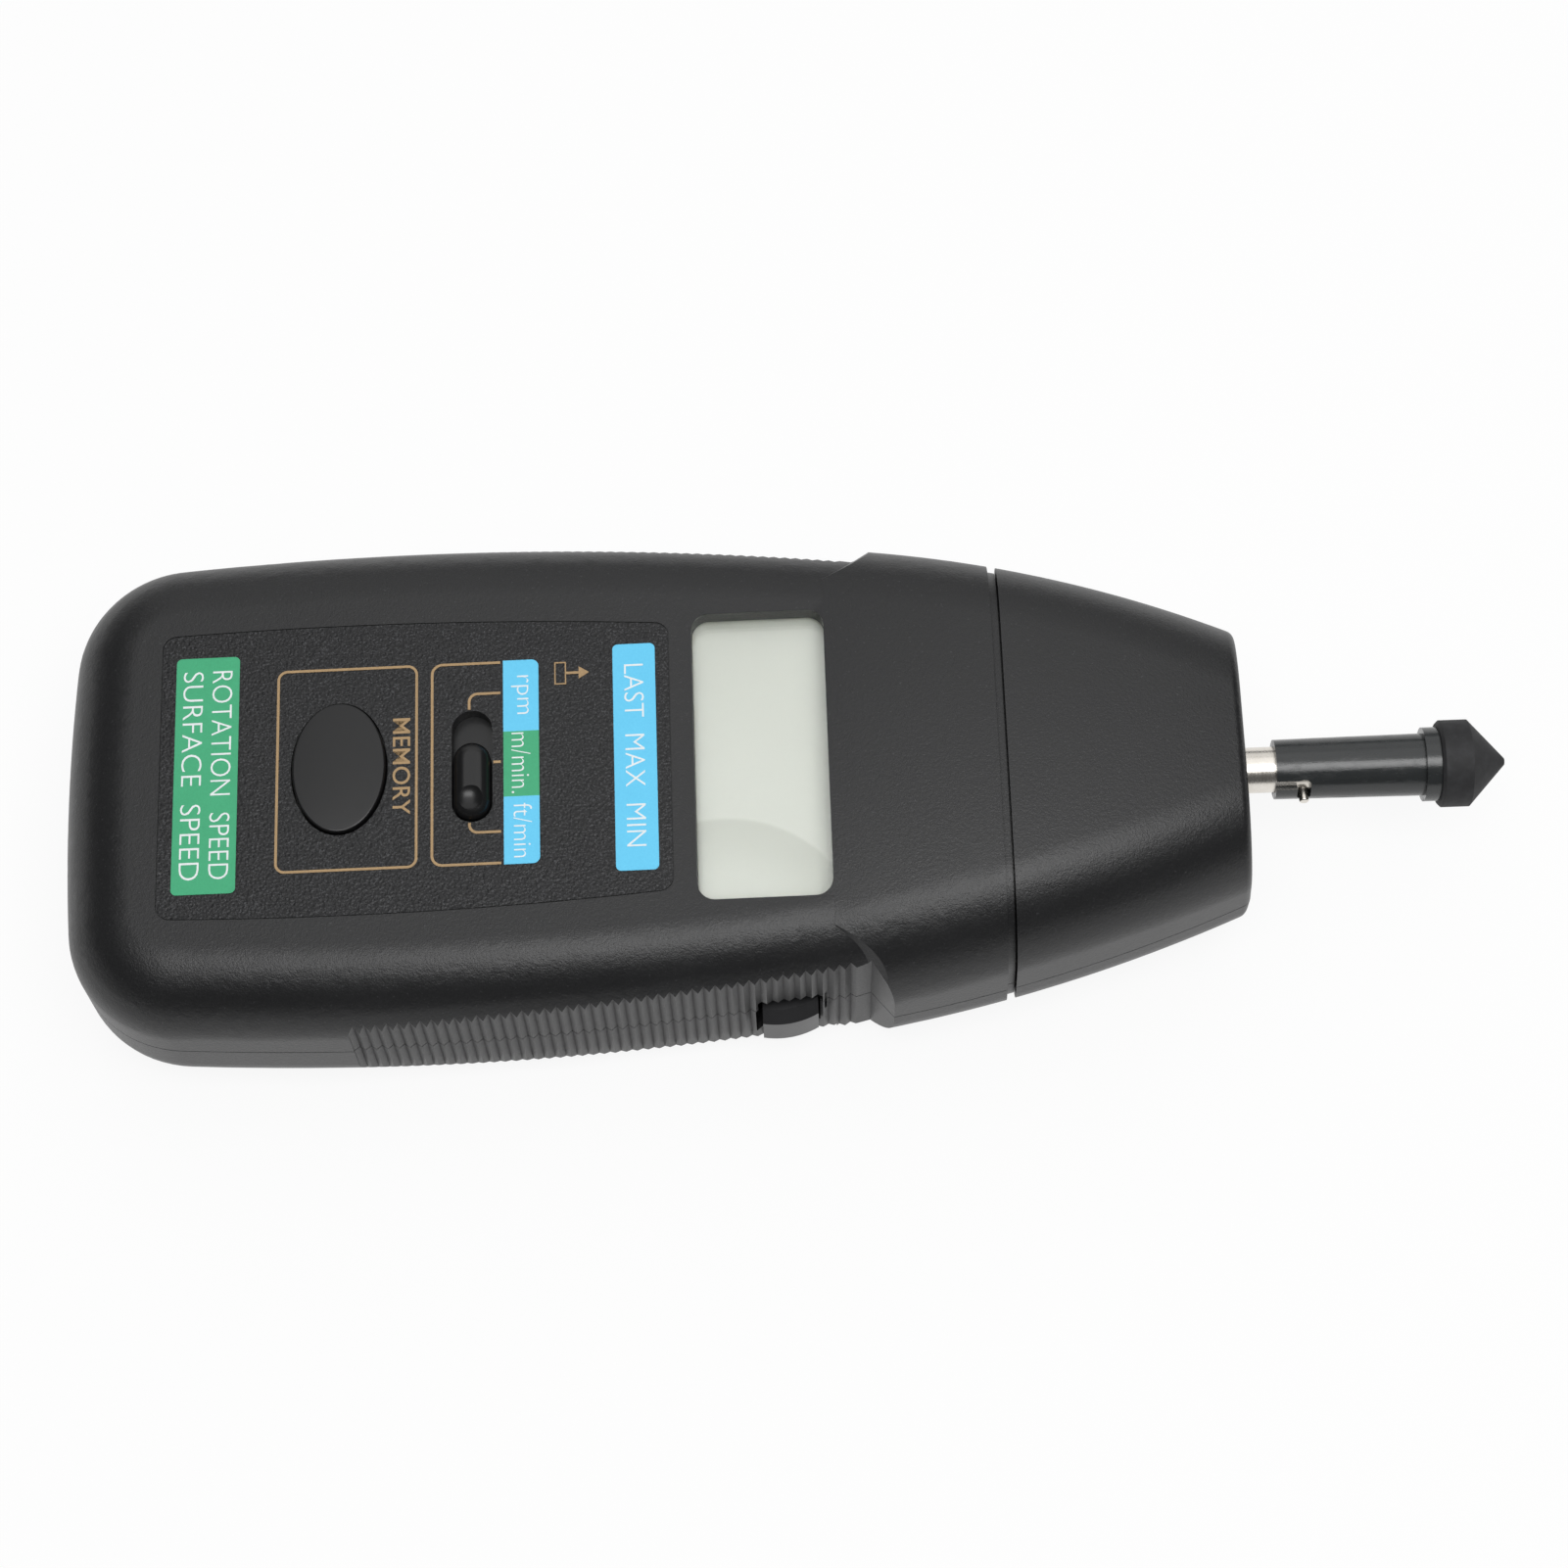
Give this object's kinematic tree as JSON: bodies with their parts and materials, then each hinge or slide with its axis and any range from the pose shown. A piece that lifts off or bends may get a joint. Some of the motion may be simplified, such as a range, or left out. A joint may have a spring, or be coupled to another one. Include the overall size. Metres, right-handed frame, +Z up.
{
  "type": "digital tachometer",
  "caption": "Hand-held contact tachometer with a sliding mode switch, oval memory button, side trigger, display and turning shaft with a cone-tipped bayonet adapter.",
  "frame": {"origin": "on the base plane under the middle of the overall length, where the instrument lies on its back", "axes": "+X along the instrument toward the tip of the drive shaft, +Y across it, +Z up out of the face"},
  "size_m": [0.2089, 0.0742, 0.037],
  "materials": {
    "shell": "fine grain",
    "label": "grained overlay",
    "print_green": "printed",
    "print_blue": "printed",
    "print_gold": "printed",
    "clear": "clear",
    "lcd": "reflective grey",
    "black_plastic": "satin",
    "button": "satin",
    "elastomer": "matt",
    "rubber": "matt",
    "board": "lacquered",
    "chip": "matt",
    "bright_metal": "plated",
    "steel": "turned",
    "screw": "zinc plated",
    "alloy": "cast and machined",
    "cell": "printed sleeve",
    "contact": "nickel plated",
    "adapter": "semi gloss"
  },
  "bodies": {
    "housing": {"front_cover": "shell", "rear_cover": "shell", "head_front_cover": "shell", "head_rear_cover": "shell", "face_label": "label", "green_print": "print_green", "blue_print": "print_blue", "gold_print": "print_gold", "display_window": "clear", "lcd_panel": "lcd", "lcd_frame": "black_plastic", "zebra_strips": "elastomer", "memory_switch": "black_plastic", "mode_switch": "steel", "measure_switch": "black_plastic", "switch_board": "board", "switch_screws": "screw", "main_board": "board", "board_screws": "screw", "main_chip": "chip", "board_parts": "chip", "capacitors": "alloy", "battery_cell_1": "cell", "battery_cell_2": "cell", "battery_cell_3": "cell", "battery_cell_4": "cell", "contact_plates": "contact", "contact_springs": "contact", "bearing_block": "alloy", "block_screws": "screw", "front_bearing_outer": "steel", "rear_bearing_outer": "steel", "optical_sensor": "black_plastic", "sensor_board": "board", "sensor_screws": "screw", "case_screws": "screw", "head_screws": "screw"},
    "memory": {"memory_button": "button", "memory_plunger": "black_plastic"},
    "mode": {"mode_knob": "button", "mode_lever": "black_plastic"},
    "trigger": {"measure_button": "button", "measure_plunger": "black_plastic"},
    "door": {"battery_cover": "shell"},
    "drive": {"shaft": "bright_metal", "shaft_pin": "steel", "front_bearing_inner": "steel", "rear_bearing_inner": "steel", "bearing_balls": "bright_metal", "bearing_spacer": "steel", "disc_hub": "alloy", "encoder_disc": "steel", "retaining_ring": "steel"},
    "adapter": {"contact_adapter": "adapter", "rubber_tip": "rubber"}
  },
  "joints": [
    {"name": "memory_press", "type": "slide", "parent": "housing", "child": "memory", "axis": [0.025, 0, -0.9997], "range_m": [0, 0.0008], "stiffness_N_per_m": 900},
    {"name": "mode_slide", "type": "slide", "parent": "housing", "child": "mode", "axis": [0, 1, 0], "range_m": [0, 0.0046]},
    {"name": "trigger_press", "type": "slide", "parent": "housing", "child": "trigger", "axis": [0, 1, 0], "range_m": [0, 0.0011], "stiffness_N_per_m": 900},
    {"name": "door_slide", "type": "slide", "parent": "housing", "child": "door", "axis": [-1, 0, 0], "range_m": [0, 0.06]},
    {"name": "shaft_spin", "type": "hinge", "parent": "housing", "child": "drive", "pos_m": [0.0545, 0, 0.0195], "axis": [1, 0, 0], "continuous": true},
    {"name": "bayonet_twist", "type": "hinge", "parent": "drive", "child": "adapter", "pos_m": [0.0754, 0, 0.0195], "axis": [1, 0, 0], "range_deg": [0, 31]}
  ]
}
